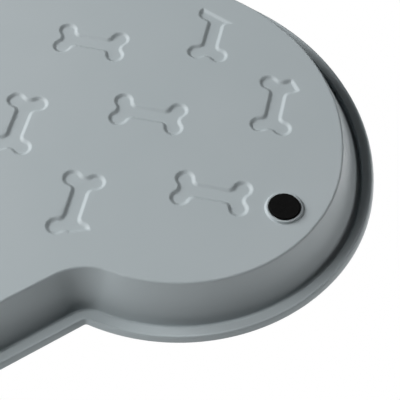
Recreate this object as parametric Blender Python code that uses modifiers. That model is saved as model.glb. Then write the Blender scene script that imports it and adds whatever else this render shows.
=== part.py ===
"""A shallow bone-shaped pet tray: one plastic moulding that stands on four stick-on rubber feet.

Metres, +Z up, open side up. The origin is on the standing plane, under the middle of the tray.
+X runs along the bone and +Y across it.
"""

import math

import bmesh
import bpy
from mathutils import Vector

MM = 0.001

# Heights above the standing plane
UNDERSIDE = 2.0 * MM  # underside of the floor
DEPTH = 20.4 * MM  # underside of the floor to the top of the rim
WALL = 2.0 * MM  # thickness of the floor and of the side wall

# Outline of the rim, for the quarter at +X +Y; the others mirror it
LOBE_CENTRE = Vector((210.8, 99.5)) * MM
LOBE_RADIUS = 89.2 * MM
END_RADIUS = 116.3 * MM  # flatter arc that the lobe blends into towards the end notch
END_BLEND = math.radians(45)
END_SLOPE = math.radians(26)  # lean of the straight flank of the end notch
WAIST_HALF = 146.9 * MM  # half width of the waist between the lobes
NOTCH_RADIUS = 1.6 * MM  # inner corners of the rim
NOTCH_GROWTH = 1.4  # gain of that radius for each unit of inset

# Number of straight steps that stand for each arc
FLANK_STEPS = 2  # end notch, and the end arc next to it
END_STEPS = 3
LOBE_STEPS = 3
SIDE_STEPS = 5  # lobe from its widest point to the waist
WAIST_STEPS = 3
EDGE_STEPS = 2
KNOB_STEPS = 3
COLLAR_STEPS = 20
DISC_STEPS = 24

# Side wall and rim, as insets from the outline of the rim and heights above the underside
WALL_FOOT = 16.6 * MM
WALL_HEAD = 8.3 * MM
RIM_UNDER = 17.8 * MM  # underside of the rim bead
EDGE_RADIUS = 2.6 * MM  # rounding between the floor and the wall, on both faces
GROOVE_DEPTH = 1.8 * MM  # groove between the wall and the flange
GROOVE_DRAFT = 0.2 * MM
FLANGE_INNER = 5.7 * MM
CREST_INNER = 2.6 * MM  # where the flange starts to rise to the crest of the bead
CREST = 1.6 * MM
CREST_RISE = 0.25 * MM
BEAD_OUTER = 0.9 * MM  # outer edge of the bead, above its crest
BEAD_ROUND = 0.5 * MM
TOP_ROUND = 0.6 * MM

# Bones pressed up into the floor
PITCH = 52.0 * MM
COLUMNS = 5  # on each side of the middle column
ROWS = 3
BONE_REACH = Vector((12.8, 5.2)) * MM  # centre of a knob from the centre of its bone
KNOB_RADIUS = 4.4 * MM
BONE_HALF = 4.0 * MM  # half width of the bone between its knobs
SHANK_FILLET = 2.0 * MM
TIP_FILLET = 2.8 * MM
BONE_RISE = 1.0 * MM
BONE_SLOPE = 1.4 * MM  # width of the sloping side of a bone
BONE_MARGIN = 30.7 * MM  # inset from the rim past which a bone is cut off
MARGIN_GROWTH = 0.43  # as NOTCH_GROWTH, for the inner corners of that margin
MARGIN_FINENESS = 4
LEAST_SHARE = 0.6  # a bone that keeps less than this of its area is left out
EVEN_ANGLE = math.radians(45)
ODD_ANGLE = math.radians(135)

# Feet
FOOT_PLACE = Vector((229.9, 153.2)) * MM
FOOT_RADIUS = 6.7 * MM
FOOT_THICKNESS = 1.3 * MM
FOOT_BEVEL = 0.3 * MM
TAPE_RADIUS = 6.2 * MM
TAPE_THICKNESS = 0.3 * MM
GAP = 0.2 * MM  # clearance that pieces pressed together keep
COLLAR_INNER = 6.9 * MM
COLLAR_LAND = 0.9 * MM
COLLAR_OUTER = 8.3 * MM
COLLAR_HEIGHT = 1.1 * MM
CORNERS = {
    "front_left": (-1, -1),
    "front_right": (1, -1),
    "back_left": (-1, 1),
    "back_right": (1, 1),
}


def polar(centre, radius, angle):
    return Vector(centre) + Vector((math.cos(angle), math.sin(angle))) * radius


def arc(centre, radius, start, end, steps):
    return [polar(centre, radius, start + (end - start) * i / steps) for i in range(steps + 1)]


def outline(inset, growth=NOTCH_GROWTH, fineness=1):
    """The tray's outline, moved in from the rim by inset, anticlockwise from the end notch."""
    blend = Vector((math.cos(END_BLEND), math.sin(END_BLEND)))
    end_centre = LOBE_CENTRE - blend * (END_RADIUS - LOBE_RADIUS)
    end_radius = END_RADIUS - inset
    lobe_radius = LOBE_RADIUS - inset
    hollow = NOTCH_RADIUS + growth * inset
    flank = Vector((math.cos(END_SLOPE), -math.sin(END_SLOPE)))
    notch_x = (flank.dot(end_centre) + end_radius + hollow) / flank.x
    waist_y = WAIST_HALF - inset + hollow
    reach = lobe_radius + hollow
    waist_x = LOBE_CENTRE.x - math.sqrt(reach**2 - (waist_y - LOBE_CENTRE.y) ** 2)
    turn = math.atan2(waist_y - LOBE_CENTRE.y, waist_x - LOBE_CENTRE.x)
    quarter = arc((notch_x, 0), hollow, math.pi, math.pi - END_SLOPE, FLANK_STEPS * fineness)
    quarter += arc(end_centre, end_radius, -END_SLOPE, 0, FLANK_STEPS * fineness)
    quarter += arc(end_centre, end_radius, 0, END_BLEND, END_STEPS * fineness)[1:]
    quarter += arc(LOBE_CENTRE, lobe_radius, END_BLEND, math.pi / 2, LOBE_STEPS * fineness)[1:]
    quarter += arc(LOBE_CENTRE, lobe_radius, math.pi / 2, turn, SIDE_STEPS * fineness)[1:]
    quarter += arc((waist_x, waist_y), hollow, turn - math.pi, -math.pi / 2, WAIST_STEPS * fineness)[1:]
    return mirrored(quarter)


def mirrored(quarter):
    """A whole outline from its quarter at +X +Y, which starts on the X axis."""
    points = list(quarter)
    points += [Vector((-p.x, p.y)) for p in reversed(quarter)]
    points += [Vector((-p.x, -p.y)) for p in quarter[1:]]
    points += [Vector((p.x, -p.y)) for p in quarter[:0:-1]]
    return points


def bone_outline(inset):
    """A bone along +X about the origin, moved in by inset, anticlockwise."""
    knob = KNOB_RADIUS - inset
    half = BONE_HALF - inset
    shank = SHANK_FILLET + inset
    tip = TIP_FILLET + inset
    shank_x = BONE_REACH.x - math.sqrt((knob + shank) ** 2 - (half + shank - BONE_REACH.y) ** 2)
    tip_x = BONE_REACH.x + math.sqrt((knob + tip) ** 2 - BONE_REACH.y**2)
    start = math.atan2(-BONE_REACH.y, tip_x - BONE_REACH.x)
    end = math.atan2(half + shank - BONE_REACH.y, shank_x - BONE_REACH.x)
    quarter = [Vector((tip_x - tip, 0))]
    quarter += arc(BONE_REACH, knob, start, end, KNOB_STEPS)
    return mirrored(quarter)


def area(points):
    """The area of a closed outline, positive when it runs anticlockwise."""
    return sum(p.cross(q) for p, q in zip(points, points[1:] + points[:1])) / 2


def nearest(point, loop):
    """How far a point lies outside a closed anticlockwise loop, and the direction that leads out."""
    best = None
    for start, end in zip(loop, loop[1:] + loop[:1]):
        edge = end - start
        along = max(0, min(1, (point - start).dot(edge) / edge.length_squared))
        away = point - (start + edge * along)
        if best is None or away.length < best[0]:
            out = Vector((edge.y, -edge.x)).normalized()
            best = (away.length, math.copysign(1, away.dot(out)), out)
    return best[0] * best[1], best[2]


def cut(points, out, limit):
    """The part of an outline on the near side of the line out . p = limit."""
    kept = []
    for p, q in zip(points, points[1:] + points[:1]):
        over_p = out.dot(p) - limit
        over_q = out.dot(q) - limit
        if over_p <= 0:
            kept.append(p)
        if over_p * over_q < 0:
            kept.append(p.lerp(q, over_p / (over_p - over_q)))
    return kept


def placed_bones():
    """For each bone: its centre, its angle and, where the margin cuts it, the line of the cut."""
    margin = outline(BONE_MARGIN, MARGIN_GROWTH, MARGIN_FINENESS)
    bones = []
    for column in range(-COLUMNS, COLUMNS + 1):
        odd = column % 2 == 1
        for row in range(-ROWS, ROWS + 1):
            height = row if odd else row + 0.5
            centre = Vector((column * PITCH, height * PITCH))
            angle = ODD_ANGLE if odd else EVEN_ANGLE
            points = turned(bone_outline(0), centre, angle)
            over, out, tip = max(
                ((*nearest(p, margin), p) for p in points), key=lambda found: found[0]
            )
            if over <= 0:
                bones.append((centre, angle, None))
                continue
            limit = out.dot(tip) - over
            if area(cut(points, out, limit)) > LEAST_SHARE * area(points):
                bones.append((centre, angle, (out, limit)))
    return bones


def turned(points, centre, angle):
    """An outline about the origin, turned by angle and moved to centre."""
    along = Vector((math.cos(angle), math.sin(angle)))
    across = Vector((-along.y, along.x))
    return [centre + along * p.x + across * p.y for p in points]


def ring(mesh, points, height):
    """A closed ring of edges at one height."""
    verts = [mesh.verts.new((p.x, p.y, height)) for p in points]
    return [mesh.edges.new((a, b)) for a, b in zip(verts, verts[1:] + verts[:1])]


def loft(mesh, rings):
    """Faces between each ring of edges and the next, for rings with equal numbers of points."""
    for lower, upper in zip(rings, rings[1:]):
        for a, b in zip(lower, upper):
            mesh.faces.new((a.verts[0], a.verts[1], b.verts[1], b.verts[0]))


def fill(mesh, *rings):
    """A flat face inside the first ring, with the others as holes."""
    edges = [edge for one in rings for edge in one]
    bmesh.ops.triangle_fill(mesh, edges=edges, use_beauty=True, normal=(0, 0, 1))


def edge(inset, height, lean):
    """The rounding between a face of the floor and the wall, from the floor up."""
    sweep = math.pi / 2 - lean
    reach = EDGE_RADIUS * math.tan(sweep / 2)
    points = []
    for step in range(EDGE_STEPS + 1):
        turn = sweep * step / EDGE_STEPS
        points.append(
            (inset + reach - EDGE_RADIUS * math.sin(turn), height + EDGE_RADIUS * (1 - math.cos(turn)))
        )
    return points


def section():
    """The side wall and rim in section, from the underside of the floor round to its upper face."""
    lean = math.atan2(WALL_FOOT - WALL_HEAD, RIM_UNDER)

    def outer(height):
        return WALL_FOOT - (WALL_FOOT - WALL_HEAD) * height / RIM_UNDER

    def inner(height):
        return outer(height) + WALL / math.cos(lean)

    groove = RIM_UNDER + GROOVE_DEPTH
    rim = [
        (outer(groove), groove),
        (FLANGE_INNER + GROOVE_DRAFT, groove),
        (FLANGE_INNER, RIM_UNDER),
        (CREST_INNER, RIM_UNDER),
        (CREST, RIM_UNDER - CREST_RISE),
        (BEAD_OUTER, RIM_UNDER + BEAD_ROUND),
        (0, DEPTH - TOP_ROUND),
        (TOP_ROUND, DEPTH),
        (inner(DEPTH) - TOP_ROUND, DEPTH),
        (inner(DEPTH - TOP_ROUND), DEPTH - TOP_ROUND),
    ]
    return edge(WALL_FOOT, 0, lean) + rim + edge(inner(WALL), WALL, lean)[::-1]


def bone_holes(mesh, bones, floor, widen):
    """The pressed bones in one face of the floor. Returns their rims, which are holes in it."""
    holes = []
    for centre, angle, line in bones:
        rings = []
        for inset, rise in ((-widen, 0), (BONE_SLOPE - widen, BONE_RISE)):
            points = turned(bone_outline(inset), centre, angle)
            if line:
                points = flattened(points, line[0], line[1] - inset)
            rings.append(ring(mesh, points, floor + rise))
        loft(mesh, rings)
        fill(mesh, rings[1])
        holes.append(rings[0])
    return holes


def flattened(points, out, limit):
    """An outline cut along a line, with as many points as before: those cut off share out the cut."""
    count = len(points)
    over = [out.dot(p) > limit for p in points]
    result = list(points)
    for start in range(count):
        if not over[start] or over[start - 1]:
            continue
        run = 1
        while over[(start + run) % count]:
            run += 1
        last = (start + run) % count
        enter = crossing(points[start - 1], points[start], out, limit)
        leave = crossing(points[last - 1], points[last], out, limit)
        for step in range(run):
            share = step / (run - 1) if run > 1 else 0.5
            result[(start + step) % count] = enter.lerp(leave, share)
    return result


def crossing(p, q, out, limit):
    """Where the line from p to q meets the line out . p = limit."""
    return p.lerp(q, (limit - out.dot(p)) / out.dot(q - p))


def circle(centre, radius, steps):
    return arc(centre, radius, 0, math.tau * (steps - 1) / steps, steps - 1)


def foot_centres():
    return {name: Vector((FOOT_PLACE.x * x, FOOT_PLACE.y * y)) for name, (x, y) in CORNERS.items()}


def collar_holes(mesh):
    """The low collar round each foot, on the underside. Returns the outer rings, holes in the floor."""
    holes = []
    for centre in foot_centres().values():
        low = UNDERSIDE - COLLAR_HEIGHT
        rings = [
            ring(mesh, circle(centre, radius, COLLAR_STEPS), height)
            for radius, height in (
                (COLLAR_OUTER, UNDERSIDE),
                (COLLAR_INNER + COLLAR_LAND, low),
                (COLLAR_INNER, low),
                (COLLAR_INNER, UNDERSIDE),
            )
        ]
        loft(mesh, rings)
        fill(mesh, rings[-1])
        holes.append(rings[0])
    return holes


def principled(name, colour, roughness):
    material = bpy.data.materials.new(name)
    material.use_nodes = True
    shader = material.node_tree.nodes["Principled BSDF"]
    shader.inputs["Base Color"].default_value = (*colour, 1)
    shader.inputs["Roughness"].default_value = roughness
    shader.inputs["Metallic"].default_value = 0
    material.diffuse_color = (*colour, 1)
    return material


def add_object(name, mesh, material, collection):
    """Turns a bmesh into a smooth-shaded object of its own, its faces pointing out."""
    bmesh.ops.remove_doubles(mesh, verts=mesh.verts, dist=0.001 * MM)
    bmesh.ops.recalc_face_normals(mesh, faces=mesh.faces)
    data = bpy.data.meshes.new(name)
    mesh.to_mesh(data)
    mesh.free()
    data.shade_smooth()
    data.set_sharp_from_angle(angle=math.radians(35))
    data.materials.append(material)
    made = bpy.data.objects.new(name, data)
    collection.objects.link(made)
    return made


def make_tray(material, collection):
    mesh = bmesh.new()
    rings = [ring(mesh, outline(inset), UNDERSIDE + height) for inset, height in section()]
    loft(mesh, rings)
    bones = placed_bones()
    fill(mesh, rings[0], *bone_holes(mesh, bones, UNDERSIDE, 0), *collar_holes(mesh))
    widen = WALL * math.tan(math.atan2(BONE_RISE, BONE_SLOPE) / 2)
    fill(mesh, rings[-1], *bone_holes(mesh, bones, UNDERSIDE + WALL, widen))
    add_object("tray", mesh, material, collection)


def make_disc(name, centre, bottom, radius, thickness, material, collection):
    """A flat round piece, placed by its own centre."""
    mesh = bmesh.new()
    bmesh.ops.create_cone(
        mesh, cap_ends=True, segments=DISC_STEPS, radius1=radius, radius2=radius, depth=thickness
    )
    made = add_object(name, mesh, material, collection)
    made.location = (centre.x, centre.y, bottom + thickness / 2)
    return made


def make_feet(rubber, adhesive, collection):
    for corner, centre in foot_centres().items():
        foot = make_disc(
            f"rubber_foot_{corner}", centre, 0, FOOT_RADIUS, FOOT_THICKNESS, rubber, collection
        )
        rounding = foot.modifiers.new("rounded edges", "BEVEL")
        rounding.width = FOOT_BEVEL
        rounding.segments = 1
        make_disc(
            f"adhesive_disc_{corner}",
            centre,
            FOOT_THICKNESS + GAP,
            TAPE_RADIUS,
            TAPE_THICKNESS,
            adhesive,
            collection,
        )


def main():
    for old in list(bpy.data.objects):
        bpy.data.objects.remove(old)
    collection = bpy.data.collections.new("bone_tray")
    bpy.context.scene.collection.children.link(collection)
    plastic = principled("tray_plastic", (0.37, 0.41, 0.42), 0.42)
    rubber = principled("foot_rubber", (0.012, 0.012, 0.012), 0.75)
    adhesive = principled("adhesive", (0.72, 0.70, 0.62), 0.6)
    make_tray(plastic, collection)
    make_feet(rubber, adhesive, collection)


main()
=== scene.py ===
"""The looks of the bone-shaped pet tray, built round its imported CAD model.

Metres, +Z up: the tray stands on its rubber feet, open side up. The main camera looks up at its
underside.
"""

import math

import bmesh
import bpy
from mathutils import Matrix, Vector


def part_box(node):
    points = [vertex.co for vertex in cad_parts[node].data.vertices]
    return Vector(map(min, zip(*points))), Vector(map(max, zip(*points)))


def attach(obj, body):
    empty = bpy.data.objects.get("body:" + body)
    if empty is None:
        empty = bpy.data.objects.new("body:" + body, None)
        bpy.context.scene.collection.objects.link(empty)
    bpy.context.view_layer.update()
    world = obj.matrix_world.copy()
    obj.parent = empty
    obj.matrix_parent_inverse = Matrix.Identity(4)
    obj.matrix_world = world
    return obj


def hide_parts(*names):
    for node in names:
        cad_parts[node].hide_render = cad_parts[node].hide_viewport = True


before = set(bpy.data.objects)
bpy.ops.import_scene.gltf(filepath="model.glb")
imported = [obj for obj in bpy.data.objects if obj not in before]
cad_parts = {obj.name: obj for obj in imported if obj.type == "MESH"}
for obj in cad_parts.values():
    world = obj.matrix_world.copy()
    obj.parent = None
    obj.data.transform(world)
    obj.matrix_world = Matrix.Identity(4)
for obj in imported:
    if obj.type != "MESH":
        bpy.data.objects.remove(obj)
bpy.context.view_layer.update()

MM = 0.001

# From the frame
TRAY_LOW, TRAY_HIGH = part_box("tray")
FOOT_NODES = sorted(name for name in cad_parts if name.startswith("rubber_foot_"))
TAPE_NODES = sorted(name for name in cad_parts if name.startswith("adhesive_disc_"))
HALF_LENGTH = TRAY_HIGH.x
HALF_WIDTH = TRAY_HIGH.y
RIM_TOP = TRAY_HIGH.z

# Outline of the rim, for the quarter at +X +Y; the others mirror it
LOBE_RADIUS = 89.2 * MM
END_RADIUS = 116.3 * MM  # flatter arc that the lobe blends into towards the end notch
END_BLEND = math.radians(45)
END_SLOPE = math.radians(26)  # lean of the straight flank of the end notch
END_CENTRE_X = HALF_LENGTH - END_RADIUS
LOBE_CENTRE = Vector(
    (END_CENTRE_X + math.cos(END_BLEND) * (END_RADIUS - LOBE_RADIUS), HALF_WIDTH - LOBE_RADIUS)
)
WAIST_HALF = 146.9 * MM  # half width of the waist between the lobes
NOTCH_RADIUS = 1.6 * MM  # inner corners of the rim
NOTCH_GROWTH = 1.4  # gain of that radius for each unit of inset
FINENESS = 7  # steps in the outline for each one in the solid's outline

# Side wall and rim, as insets from the outline of the rim and heights above the underside
DEPTH = 20.4 * MM  # underside of the floor to the top of the rim
UNDERSIDE = RIM_TOP - DEPTH
WALL = 2.0 * MM  # thickness of the floor and of the side wall
WALL_FOOT = 16.6 * MM
WALL_HEAD = 8.3 * MM
RIM_UNDER = 17.8 * MM  # underside of the flange
GROOVE_DEPTH = 1.8 * MM  # groove between the wall and the flange
GROOVE_DRAFT = 0.2 * MM
FLANGE_INNER = 5.7 * MM
CREST_INNER = 2.5 * MM  # where the flange starts to rise to the crest of the bead
CREST = 1.6 * MM
CREST_RISE = 0.25 * MM  # how far the crest stands below the flange
BEAD_OUTER = 0.9 * MM  # where the bead turns up into the side of the rim
BEAD_HEIGHT = 0.5 * MM  # of that place, above the flange
TOP_INSET = 0.5 * MM  # chamfer round the top of the rim
TOP_FALL = 0.4 * MM
FLOOR_RUN = 2.2 * MM  # flat strip of the underside that the section takes in
BASIN_RUN = 3.2 * MM  # and of the upper face

# Radii of that section's corners, from the underside round to the basin
FLOOR_EDGE_RADIUS = 1.3 * MM
GROOVE_RADIUS = 1.0 * MM
GROOVE_CORNER_RADIUS = 0.3 * MM
FLANGE_RADIUS = 0.25 * MM
CREST_FOOT_RADIUS = 0.6 * MM
CREST_RADIUS = 0.5 * MM
BEAD_RADIUS = 1.2 * MM
RIM_RADIUS = 0.4 * MM
TOP_RADIUS = 0.3 * MM
MOUTH_RADIUS = 1.4 * MM
BASIN_RADIUS = 3.2 * MM
SECTION_STEPS = 6  # for each of those corners

# Bones pressed up into the floor
PITCH = 52.0 * MM
COLUMNS = 5  # on each side of the middle column
ROWS = 3
BONE_REACH = Vector((12.8, 5.2)) * MM  # centre of a knob from the centre of its bone
KNOB_RADIUS = 4.4 * MM
BONE_HALF = 4.0 * MM  # half width of the bone between its knobs
SHANK_FILLET = 2.0 * MM
TIP_FILLET = 2.8 * MM
BONE_RISE = 1.0 * MM
BONE_SLOPE = 1.4 * MM  # width of the sloping side of a bone
BONE_SOFT = 0.45 * MM  # how far that side's rounding runs past it, at the top and at the foot
BONE_STEPS = 5  # up that side
BONE_FINENESS = 3  # steps in each fillet; a knob has four times as many
BONE_MARGIN = 30.7 * MM  # inset from the rim past which a bone is cut off
MARGIN_GROWTH = 0.43  # as NOTCH_GROWTH, for the inner corners of that margin
MARGIN_FINENESS = 4
LEAST_SHARE = 0.6  # a bone that keeps less than this of its area is left out
EVEN_ANGLE = math.radians(45)
ODD_ANGLE = math.radians(135)

# Collars round the rubber feet, as radii and depths below the underside
COLLAR_FOOT = 8.3 * MM
COLLAR_HEAD = 7.8 * MM
COLLAR_BORE = 6.9 * MM
COLLAR_HEIGHT = UNDERSIDE - TRAY_LOW.z
COLLAR_SEAT = 0.1 * MM  # depth of the seat inside the collar
COLLAR_RUN = 1.2 * MM  # flat strip of the underside that the section takes in
SEAT_RUN = 1.0 * MM  # and of the seat
COLLAR_FOOT_RADIUS = 0.6 * MM
COLLAR_HEAD_RADIUS = 0.3 * MM
COLLAR_LIP_RADIUS = 0.25 * MM
SEAT_RADIUS = 0.3 * MM
COLLAR_STEPS = 5  # for each of those corners
ROUND_STEPS = 72  # round each collar and foot

# Rubber feet
FOOT_TREAD_RADIUS = 0.35 * MM  # rounding of the edge it stands on
FOOT_BACK_RADIUS = 0.2 * MM
FOOT_STEPS = 6
FOOT_UNEVENNESS = 0.05 * MM  # how much its cut edge wanders

# Colours that each material drifts between
PLASTIC_TONES = (0.390, 0.440, 0.458), (0.410, 0.455, 0.473)
RUBBER_TONES = (0.002, 0.002, 0.002), (0.005, 0.005, 0.005)
FOAM_TONES = (0.62, 0.60, 0.52), (0.80, 0.78, 0.71)

# Main view
CAMERA_PLACE = Vector((44.0, 357.9, -387.0)) * MM
CAMERA_AIM = Vector((201.8, 130.5, 2.0)) * MM
CAMERA_ROLL = math.radians(182.26)
LENS = 100.4  # mm
SENSOR = 36  # mm, its width
NEAR_CLIP = 10 * MM

# Lights round the end of the tray that the main view shows. Their azimuth is in degrees from the
# front, -Y, towards the right, +X.
LIGHT_AIM = Vector((200, 120, 0)) * MM
LIGHT_DISTANCE = 2.4
SOFT_BOX_SIZE = 0.75
SOFT_BOXES = (  # azimuth, elevation and watts
    (330, -28, 36),
    (300, -45, 37),
    (300, -28, 11),
    (300, 3, 5.5),
    (90, -40, 3),
    (120, -12, 4),
    (120, 3, 11.5),
    (150, 3, 3.5),
    (210, 18, 8.5),
    (300, 18, 2.5),
    (90, 36, 12),
    (135, 36, 7),
    (165, 36, 9),
    (210, 36, 7),
    (240, 36, 6),
)
BROAD_BOXES = (  # azimuth, elevation, size and watts, for the views from above
    (330, 50, 1.2, 26),
    (120, 45, 1.6, 12),
)

# Floor, which turns white between two distances from the middle through a painted glow that grows
# with the distance, as a studio sweep looks
FLOOR_HALF = 4.0
FLOOR_GREY = 0.82
FLOOR_GLOW_START = 0.35
FLOOR_GLOW_END = 1.8


def polar(centre, radius, angle):
    """The point at an angle on a circle."""
    return Vector(centre) + Vector((math.cos(angle), math.sin(angle))) * radius


def arc(centre, radius, start, end, steps):
    """Points along an arc from one angle to another, with both ends."""
    return [polar(centre, radius, start + (end - start) * i / steps) for i in range(steps + 1)]


def outline(inset, growth=NOTCH_GROWTH, fineness=1):
    """The tray's outline, moved in from the rim by inset, anticlockwise from the end notch."""
    blend = Vector((math.cos(END_BLEND), math.sin(END_BLEND)))
    end_centre = LOBE_CENTRE - blend * (END_RADIUS - LOBE_RADIUS)
    end_radius = END_RADIUS - inset
    lobe_radius = LOBE_RADIUS - inset
    hollow = NOTCH_RADIUS + growth * inset
    flank = Vector((math.cos(END_SLOPE), -math.sin(END_SLOPE)))
    notch_x = (flank.dot(end_centre) + end_radius + hollow) / flank.x
    waist_y = WAIST_HALF - inset + hollow
    reach = lobe_radius + hollow
    waist_x = LOBE_CENTRE.x - math.sqrt(reach**2 - (waist_y - LOBE_CENTRE.y) ** 2)
    turn = math.atan2(waist_y - LOBE_CENTRE.y, waist_x - LOBE_CENTRE.x)
    quarter = arc((notch_x, 0), hollow, math.pi, math.pi - END_SLOPE, 2 * fineness)
    quarter += arc(end_centre, end_radius, -END_SLOPE, 0, 2 * fineness)
    quarter += arc(end_centre, end_radius, 0, END_BLEND, 3 * fineness)[1:]
    quarter += arc(LOBE_CENTRE, lobe_radius, END_BLEND, math.pi / 2, 3 * fineness)[1:]
    quarter += arc(LOBE_CENTRE, lobe_radius, math.pi / 2, turn, 5 * fineness)[1:]
    quarter += arc((waist_x, waist_y), hollow, turn - math.pi, -math.pi / 2, 3 * fineness)[1:]
    return mirrored(quarter)


def mirrored(quarter):
    """A whole outline from its quarter at +X +Y, which starts on the X axis."""
    points = list(quarter)
    points += [Vector((-p.x, p.y)) for p in reversed(quarter)]
    points += [Vector((-p.x, -p.y)) for p in quarter[1:]]
    points += [Vector((p.x, -p.y)) for p in quarter[:0:-1]]
    return points


def bone_outline(inset, fineness=1):
    """A bone along +X about the origin, moved in by inset, anticlockwise."""
    knob = KNOB_RADIUS - inset
    half = BONE_HALF - inset
    shank = SHANK_FILLET + inset
    tip = TIP_FILLET + inset
    shank_x = BONE_REACH.x - math.sqrt((knob + shank) ** 2 - (half + shank - BONE_REACH.y) ** 2)
    tip_x = BONE_REACH.x + math.sqrt((knob + tip) ** 2 - BONE_REACH.y**2)
    start = math.atan2(-BONE_REACH.y, tip_x - BONE_REACH.x)
    end = math.atan2(half + shank - BONE_REACH.y, shank_x - BONE_REACH.x)
    if fineness == 1:  # as coarse as in the solid, so that the same bones are cut in the same places
        quarter = [Vector((tip_x - tip, 0))]
        return mirrored(quarter + arc(BONE_REACH, knob, start, end, 3))
    quarter = arc((tip_x, 0), tip, math.pi, math.pi + start, fineness)
    quarter += arc(BONE_REACH, knob, start, end, 4 * fineness)[1:]
    quarter += arc((shank_x, half + shank), shank, end - math.pi, -math.pi / 2, fineness)[1:]
    return mirrored(quarter)


def area(points):
    """The area of a closed outline, positive when it runs anticlockwise."""
    return sum(p.cross(q) for p, q in zip(points, points[1:] + points[:1])) / 2


def nearest(point, loop):
    """How far a point lies outside a closed anticlockwise loop, and the direction out of it."""
    best = None
    for start, end in zip(loop, loop[1:] + loop[:1]):
        edge = end - start
        along = max(0, min(1, (point - start).dot(edge) / edge.length_squared))
        away = point - (start + edge * along)
        if best is None or away.length < best[0]:
            out = Vector((edge.y, -edge.x)).normalized()
            best = (away.length, math.copysign(1, away.dot(out)), out)
    return best[0] * best[1], best[2]


def cut(points, out, limit):
    """The part of an outline on the near side of the line out . p = limit."""
    kept = []
    for p, q in zip(points, points[1:] + points[:1]):
        over_p = out.dot(p) - limit
        over_q = out.dot(q) - limit
        if over_p <= 0:
            kept.append(p)
        if over_p * over_q < 0:
            kept.append(p.lerp(q, over_p / (over_p - over_q)))
    return kept


def placed_bones():
    """For each bone: its centre, its angle and, where the margin cuts it, the line of the cut."""
    margin = outline(BONE_MARGIN, MARGIN_GROWTH, MARGIN_FINENESS)
    bones = []
    for column in range(-COLUMNS, COLUMNS + 1):
        odd = column % 2 == 1
        for row in range(-ROWS, ROWS + 1):
            height = row if odd else row + 0.5
            centre = Vector((column * PITCH, height * PITCH))
            angle = ODD_ANGLE if odd else EVEN_ANGLE
            points = turned(bone_outline(0), centre, angle)
            over, out, tip = max(
                ((*nearest(p, margin), p) for p in points), key=lambda found: found[0]
            )
            if over <= 0:
                bones.append((centre, angle, None))
                continue
            limit = out.dot(tip) - over
            if area(cut(points, out, limit)) > LEAST_SHARE * area(points):
                bones.append((centre, angle, (out, limit)))
    return bones


def turned(points, centre, angle):
    """An outline about the origin, turned by angle and moved to centre."""
    along = Vector((math.cos(angle), math.sin(angle)))
    across = Vector((-along.y, along.x))
    return [centre + along * p.x + across * p.y for p in points]


def flattened(points, out, limit):
    """An outline cut along a line, with as many points as before: those cut off line the cut."""
    count = len(points)
    over = [out.dot(p) > limit for p in points]
    result = list(points)
    for start in range(count):
        if not over[start] or over[start - 1]:
            continue
        run = 1
        while over[(start + run) % count]:
            run += 1
        last = (start + run) % count
        enter = crossing(points[start - 1], points[start], out, limit)
        leave = crossing(points[last - 1], points[last], out, limit)
        for step in range(run):
            share = step / (run - 1) if run > 1 else 0.5
            result[(start + step) % count] = enter.lerp(leave, share)
    return result


def crossing(p, q, out, limit):
    """Where the line from p to q meets the line out . p = limit."""
    return p.lerp(q, (limit - out.dot(p)) / out.dot(q - p))


def rounded(corners, steps):
    """A section through corners, each a place and the radius of the arc that rounds it."""
    points = [corners[0][0]]
    for (before, _), (corner, radius), (after, _) in zip(corners, corners[1:], corners[2:]):
        arrive = (corner - before).normalized()
        leave = (after - corner).normalized()
        turn = arrive.angle_signed(leave)  # positive clockwise
        reach = radius * math.tan(abs(turn) / 2)
        side = Vector((arrive.y, -arrive.x)) * math.copysign(1, turn)
        centre = corner - arrive * reach + side * radius
        spoke = -side * radius
        for step in range(steps + 1):
            points.append(centre + clockwise(spoke, turn * step / steps))
    points.append(corners[-1][0])
    return points


def clockwise(vector, angle):
    """A vector turned clockwise by angle."""
    cos, sin = math.cos(angle), math.sin(angle)
    return Vector((vector.x * cos + vector.y * sin, vector.y * cos - vector.x * sin))


def ring(mesh, points, height):
    """A closed ring of edges at one height."""
    verts = [mesh.verts.new((p.x, p.y, height)) for p in points]
    return [mesh.edges.new((a, b)) for a, b in zip(verts, verts[1:] + verts[:1])]


def loft(mesh, rings):
    """Faces between each ring of edges and the next, for rings with equal numbers of points."""
    for lower, upper in zip(rings, rings[1:]):
        for a, b in zip(lower, upper):
            mesh.faces.new((a.verts[0], a.verts[1], b.verts[1], b.verts[0]))


def fill(mesh, *rings):
    """A flat face inside the first ring, with the others as holes."""
    edges = [edge for one in rings for edge in one]
    bmesh.ops.triangle_fill(mesh, edges=edges, use_beauty=False, normal=(0, 0, 1))


def section():
    """The side wall and rim in section, from the underside of the floor round to its upper face."""
    lean = math.atan2(WALL_FOOT - WALL_HEAD, RIM_UNDER)

    def outer(height):
        return WALL_FOOT - (WALL_FOOT - WALL_HEAD) * height / RIM_UNDER

    def inner(height):
        return outer(height) + WALL / math.cos(lean)

    groove = RIM_UNDER + GROOVE_DEPTH
    crest = RIM_UNDER - CREST_RISE
    corners = [
        ((WALL_FOOT + FLOOR_RUN, 0), 0),
        ((WALL_FOOT, 0), FLOOR_EDGE_RADIUS),
        ((outer(groove), groove), GROOVE_RADIUS),
        ((FLANGE_INNER + GROOVE_DRAFT, groove), GROOVE_CORNER_RADIUS),
        ((FLANGE_INNER, RIM_UNDER), FLANGE_RADIUS),
        ((CREST_INNER, RIM_UNDER), CREST_FOOT_RADIUS),
        ((CREST, crest), CREST_RADIUS),
        ((BEAD_OUTER, RIM_UNDER + BEAD_HEIGHT), BEAD_RADIUS),
        ((0, DEPTH - TOP_FALL), RIM_RADIUS),
        ((TOP_INSET, DEPTH), TOP_RADIUS),
        ((inner(DEPTH), DEPTH), MOUTH_RADIUS),
        ((inner(WALL), WALL), BASIN_RADIUS),
        ((inner(WALL) + BASIN_RUN, WALL), 0),
    ]
    return rounded([(Vector(place), radius) for place, radius in corners], SECTION_STEPS)


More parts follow.
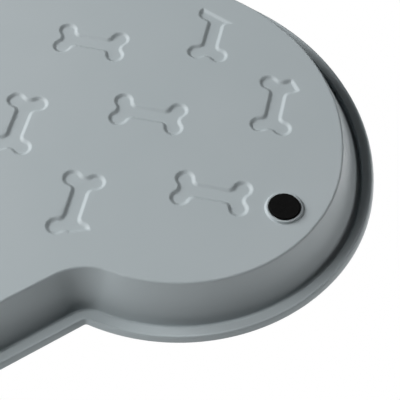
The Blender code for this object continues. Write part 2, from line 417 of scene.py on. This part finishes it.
def soft_step(share):
    """Rises from 0 to 1 with level ends, as share does."""
    return share * share * (3 - 2 * share)


def bone_holes(mesh, bones, floor, widen):
    """The pressed bones in one face of the floor. Returns their rims, which are holes in it."""
    holes = []
    for centre, angle, line in bones:
        rings = []
        for step in range(BONE_STEPS + 1):
            share = step / BONE_STEPS
            inset = (BONE_SLOPE + 2 * BONE_SOFT) * share - BONE_SOFT - widen
            points = turned(bone_outline(inset, BONE_FINENESS), centre, angle)
            if line:
                points = flattened(points, line[0], line[1] - inset)
            rings.append(ring(mesh, points, floor + BONE_RISE * soft_step(share)))
        loft(mesh, rings)
        fill(mesh, rings[-1])
        holes.append(rings[0])
    return holes


def circle(centre, radius):
    """A circle of ROUND_STEPS points."""
    return arc(centre, radius, 0, math.tau * (ROUND_STEPS - 1) / ROUND_STEPS, ROUND_STEPS - 1)


def foot_centre(node):
    """The middle of a foot, seen from above."""
    low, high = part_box(node)
    return ((low + high) / 2).xy


def collar_holes(mesh):
    """The low collar round each foot, on the underside. Returns their rims, holes in the floor."""
    corners = [
        ((COLLAR_FOOT + COLLAR_RUN, 0), 0),
        ((COLLAR_FOOT, 0), COLLAR_FOOT_RADIUS),
        ((COLLAR_HEAD, COLLAR_HEIGHT), COLLAR_HEAD_RADIUS),
        ((COLLAR_BORE, COLLAR_HEIGHT), COLLAR_LIP_RADIUS),
        ((COLLAR_BORE, COLLAR_SEAT), SEAT_RADIUS),
        ((COLLAR_BORE - SEAT_RUN, COLLAR_SEAT), 0),
    ]
    profile = rounded([(Vector(place), radius) for place, radius in corners], COLLAR_STEPS)
    holes = []
    for node in FOOT_NODES:
        centre = foot_centre(node)
        rings = [ring(mesh, circle(centre, p.x), UNDERSIDE - p.y) for p in profile]
        loft(mesh, rings)
        fill(mesh, rings[-1])
        holes.append(rings[0])
    return holes


def lean_to_largest(data):
    """Smooth shading in which each corner leans to its largest faces, so flat faces look flat."""
    sums = [Vector((0, 0, 0)) for _ in data.vertices]
    for face in data.polygons:
        for index in face.vertices:
            sums[index] += face.normal * face.area
    data.shade_smooth()
    data.normals_split_custom_set_from_vertices([total.normalized() for total in sums])


def add_piece(name, mesh, material, node):
    """Turns a bmesh into a piece that stands for a CAD node."""
    bmesh.ops.recalc_face_normals(mesh, faces=mesh.faces)
    data = bpy.data.meshes.new(name)
    mesh.to_mesh(data)
    mesh.free()
    data.materials.append(material)
    lean_to_largest(data)
    piece = bpy.data.objects.new(name, data)
    bpy.context.scene.collection.objects.link(piece)
    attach(piece, "root")
    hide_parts(node)
    return piece


def make_tray(material):
    """The moulding: wall and rim, both faces of the floor, the bones and the collars."""
    mesh = bmesh.new()
    rings = [ring(mesh, outline(p.x, fineness=FINENESS), UNDERSIDE + p.y) for p in section()]
    loft(mesh, rings)
    bones = placed_bones()
    fill(mesh, rings[0], *bone_holes(mesh, bones, UNDERSIDE, 0), *collar_holes(mesh))
    widen = WALL * math.tan(math.atan2(BONE_RISE, BONE_SLOPE) / 2)
    fill(mesh, rings[-1], *bone_holes(mesh, bones, UNDERSIDE + WALL, widen))
    return add_piece("moulded_tray", mesh, material, "tray")


def cut_wave(turn):
    """An uneven wave round a circle, never above 0, so that an edge moved by it only moves in."""
    return math.sin(17 * turn) * math.sin(5 * turn + 1) + 0.5 * math.sin(29 * turn) - 1.5


def make_foot(node, material):
    """A round rubber foot whose cut edge is a little uneven."""
    low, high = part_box(node)
    centre = foot_centre(node)
    radius = (high.x - low.x) / 2
    thickness = high.z - low.z
    corners = [
        ((radius / 2, 0), 0),
        ((radius, 0), FOOT_TREAD_RADIUS),
        ((radius, thickness), FOOT_BACK_RADIUS),
        ((radius / 2, thickness), 0),
    ]
    profile = rounded([(Vector(place), size) for place, size in corners], FOOT_STEPS)
    mesh = bmesh.new()
    rings = []
    for p in profile:
        points = []
        for index, point in enumerate(circle(Vector((0, 0)), p.x)):
            wander = FOOT_UNEVENNESS * cut_wave(math.tau * index / ROUND_STEPS)
            points.append(centre + point * (1 + wander / radius))
        rings.append(ring(mesh, points, low.z + p.y))
    loft(mesh, rings)
    fill(mesh, rings[0])
    fill(mesh, rings[-1])
    return add_piece("cut_" + node, mesh, material, node)


def material_nodes(name):
    """A new material, its tree and its Principled shader."""
    material = bpy.data.materials.new(name)
    material.use_nodes = True
    return material, material.node_tree, material.node_tree.nodes["Principled BSDF"]


def noise(tree, scale, detail=2.0, stretch=(1, 1, 1)):
    """A noise in object space, whose scale is in cycles per metre."""
    place = tree.nodes.new("ShaderNodeTexCoord")
    mapping = tree.nodes.new("ShaderNodeMapping")
    mapping.inputs["Scale"].default_value = stretch
    texture = tree.nodes.new("ShaderNodeTexNoise")
    texture.inputs["Scale"].default_value = scale
    texture.inputs["Detail"].default_value = detail
    tree.links.new(place.outputs["Object"], mapping.inputs["Vector"])
    tree.links.new(mapping.outputs["Vector"], texture.inputs["Vector"])
    return texture.outputs["Fac"]


def spread(tree, source, low, high):
    """A noise stretched so that its usual values run from low to high."""
    node = tree.nodes.new("ShaderNodeMapRange")
    node.inputs["From Min"].default_value = 0.3
    node.inputs["From Max"].default_value = 0.7
    node.inputs["To Min"].default_value = low
    node.inputs["To Max"].default_value = high
    tree.links.new(source, node.inputs["Value"])
    return node.outputs["Result"]


def blend_colours(tree, share, first, second):
    """A colour between first, where share is 0, and second, where it is 1."""
    node = tree.nodes.new("ShaderNodeMix")
    node.data_type = "RGBA"
    node.inputs["A"].default_value = (*first, 1)
    node.inputs["B"].default_value = (*second, 1)
    tree.links.new(share, node.inputs["Factor"])
    return node.outputs["Result"]


def bump(tree, height, distance, strength, base=None):
    """A bump of height times distance, on top of the bump in base."""
    node = tree.nodes.new("ShaderNodeBump")
    node.inputs["Distance"].default_value = distance
    node.inputs["Strength"].default_value = strength
    tree.links.new(height, node.inputs["Height"])
    if base:
        tree.links.new(base, node.inputs["Normal"])
    return node.outputs["Normal"]


def tray_plastic():
    """Satin grey polypropylene: slow drifts of tone, and the fine grain of the mould."""
    material, tree, shader = material_nodes("satin_grey_plastic")
    drift = spread(tree, noise(tree, 9, 3), 0, 1)
    colour = blend_colours(tree, drift, *PLASTIC_TONES)
    tree.links.new(colour, shader.inputs["Base Color"])
    rough = spread(tree, noise(tree, 60, 4), 0.54, 0.62)
    tree.links.new(rough, shader.inputs["Roughness"])
    shader.inputs["Specular IOR Level"].default_value = 0.38
    grain = bump(tree, noise(tree, 2200, 2), 0.02 * MM, 0.35)
    flow = bump(tree, noise(tree, 25, 2, (1, 4, 1)), 0.25 * MM, 0.12, grain)
    tree.links.new(flow, shader.inputs["Normal"])
    return material


def foot_rubber():
    """Matte black rubber with a fine open grain and a little dust."""
    material, tree, shader = material_nodes("matte_black_rubber")
    dust = spread(tree, noise(tree, 900, 5), 0, 1)
    colour = blend_colours(tree, dust, *RUBBER_TONES)
    tree.links.new(colour, shader.inputs["Base Color"])
    rough = spread(tree, noise(tree, 500, 3), 0.75, 0.92)
    tree.links.new(rough, shader.inputs["Roughness"])
    shader.inputs["Specular IOR Level"].default_value = 0.1
    grain = bump(tree, noise(tree, 3000, 4), 0.05 * MM, 0.6)
    tree.links.new(grain, shader.inputs["Normal"])
    return material


def foam_tape():
    """Cream foam tape with small round cells."""
    material, tree, shader = material_nodes("cream_foam_tape")
    place = tree.nodes.new("ShaderNodeTexCoord")
    cells = tree.nodes.new("ShaderNodeTexVoronoi")
    cells.inputs["Scale"].default_value = 2500
    tree.links.new(place.outputs["Object"], cells.inputs["Vector"])
    colour = blend_colours(tree, cells.outputs["Distance"], *FOAM_TONES)
    tree.links.new(colour, shader.inputs["Base Color"])
    shader.inputs["Roughness"].default_value = 0.7
    tree.links.new(bump(tree, cells.outputs["Distance"], 0.1 * MM, 0.5), shader.inputs["Normal"])
    return material


def finish_tapes(material):
    """Gives the adhesive discs, whose CAD solids stay, the look of foam tape."""
    for node in TAPE_NODES:
        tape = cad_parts[node]
        tape.data.materials.clear()
        tape.data.materials.append(material)


def make_camera():
    """The main view, from below the standing plane."""
    data = bpy.data.cameras.new("main_view")
    data.sensor_width = SENSOR
    data.lens = LENS
    data.clip_start = NEAR_CLIP
    camera = bpy.data.objects.new("main_view", data)
    look = (CAMERA_AIM - CAMERA_PLACE).to_track_quat("-Z", "Y").to_matrix().to_4x4()
    camera.matrix_world = (
        Matrix.Translation(CAMERA_PLACE) @ look @ Matrix.Rotation(CAMERA_ROLL, 4, "Z")
    )
    bpy.context.scene.collection.objects.link(camera)
    bpy.context.scene.camera = camera


def area_light(azimuth, elevation, size, power):
    """A soft square white light that faces the tray from a direction in degrees."""
    name = f"soft_box_{azimuth}_{elevation}"
    data = bpy.data.lights.new(name, "AREA")
    data.shape = "SQUARE"
    data.size = size
    data.energy = power
    light = bpy.data.objects.new(name, data)
    turn, rise = math.radians(azimuth), math.radians(elevation)
    towards = Vector(
        (math.sin(turn) * math.cos(rise), -math.cos(turn) * math.cos(rise), math.sin(rise))
    )
    light.location = LIGHT_AIM + towards * LIGHT_DISTANCE
    light.rotation_euler = towards.to_track_quat("Z", "Y").to_euler()
    bpy.context.scene.collection.objects.link(light)


def make_lights():
    """Soft boxes all round: the strong ones below the standing plane, and weaker ones above it."""
    for azimuth, elevation, power in SOFT_BOXES:
        area_light(azimuth, elevation, SOFT_BOX_SIZE, power)
    for azimuth, elevation, size, power in BROAD_BOXES:
        area_light(azimuth, elevation, size, power)


def make_world():
    """White to the camera, and dark to everything else."""
    world = bpy.data.worlds.new("studio")
    world.use_nodes = True
    tree = world.node_tree
    background = tree.nodes["Background"]
    background.inputs["Color"].default_value = (1, 1, 1, 1)
    path = tree.nodes.new("ShaderNodeLightPath")
    tree.links.new(path.outputs["Is Camera Ray"], background.inputs["Strength"])
    bpy.context.scene.world = world


def make_floor():
    """A pale floor that is only seen from above, so that the view from below looks past it."""
    mesh = bmesh.new()
    bmesh.ops.create_grid(mesh, x_segments=1, y_segments=1, size=FLOOR_HALF)
    data = bpy.data.meshes.new("pale_floor")
    mesh.to_mesh(data)
    mesh.free()
    material, tree, shader = material_nodes("pale_floor")
    shader.inputs["Base Color"].default_value = (FLOOR_GREY, FLOOR_GREY, FLOOR_GREY, 1)
    shader.inputs["Roughness"].default_value = 0.8
    place = tree.nodes.new("ShaderNodeTexCoord")
    away = tree.nodes.new("ShaderNodeVectorMath")
    away.operation = "LENGTH"
    tree.links.new(place.outputs["Object"], away.inputs["Vector"])
    # painted glow: the floor emits white light whose strength rises from nothing to full between
    # those two distances
    glow = tree.nodes.new("ShaderNodeMapRange")
    glow.interpolation_type = "SMOOTHSTEP"
    glow.inputs["From Min"].default_value = FLOOR_GLOW_START
    glow.inputs["From Max"].default_value = FLOOR_GLOW_END
    tree.links.new(away.outputs["Value"], glow.inputs["Value"])
    shader.inputs["Emission Color"].default_value = (1, 1, 1, 1)
    tree.links.new(glow.outputs["Result"], shader.inputs["Emission Strength"])
    clear = tree.nodes.new("ShaderNodeBsdfTransparent")
    side = tree.nodes.new("ShaderNodeNewGeometry")
    choose = tree.nodes.new("ShaderNodeMixShader")
    tree.links.new(side.outputs["Backfacing"], choose.inputs["Fac"])
    tree.links.new(shader.outputs["BSDF"], choose.inputs[1])
    tree.links.new(clear.outputs["BSDF"], choose.inputs[2])
    output = tree.nodes["Material Output"]
    tree.links.new(choose.outputs["Shader"], output.inputs["Surface"])
    data.materials.append(material)
    floor = bpy.data.objects.new("pale_floor", data)
    bpy.context.scene.collection.objects.link(floor)
    floor.visible_shadow = False
    floor.visible_diffuse = False
    floor.visible_glossy = False


def main():
    make_tray(tray_plastic())
    rubber = foot_rubber()
    for node in FOOT_NODES:
        make_foot(node, rubber)
    finish_tapes(foam_tape())
    make_floor()
    make_world()
    make_lights()
    make_camera()
    bpy.context.scene.view_settings.view_transform = "Standard"


main()
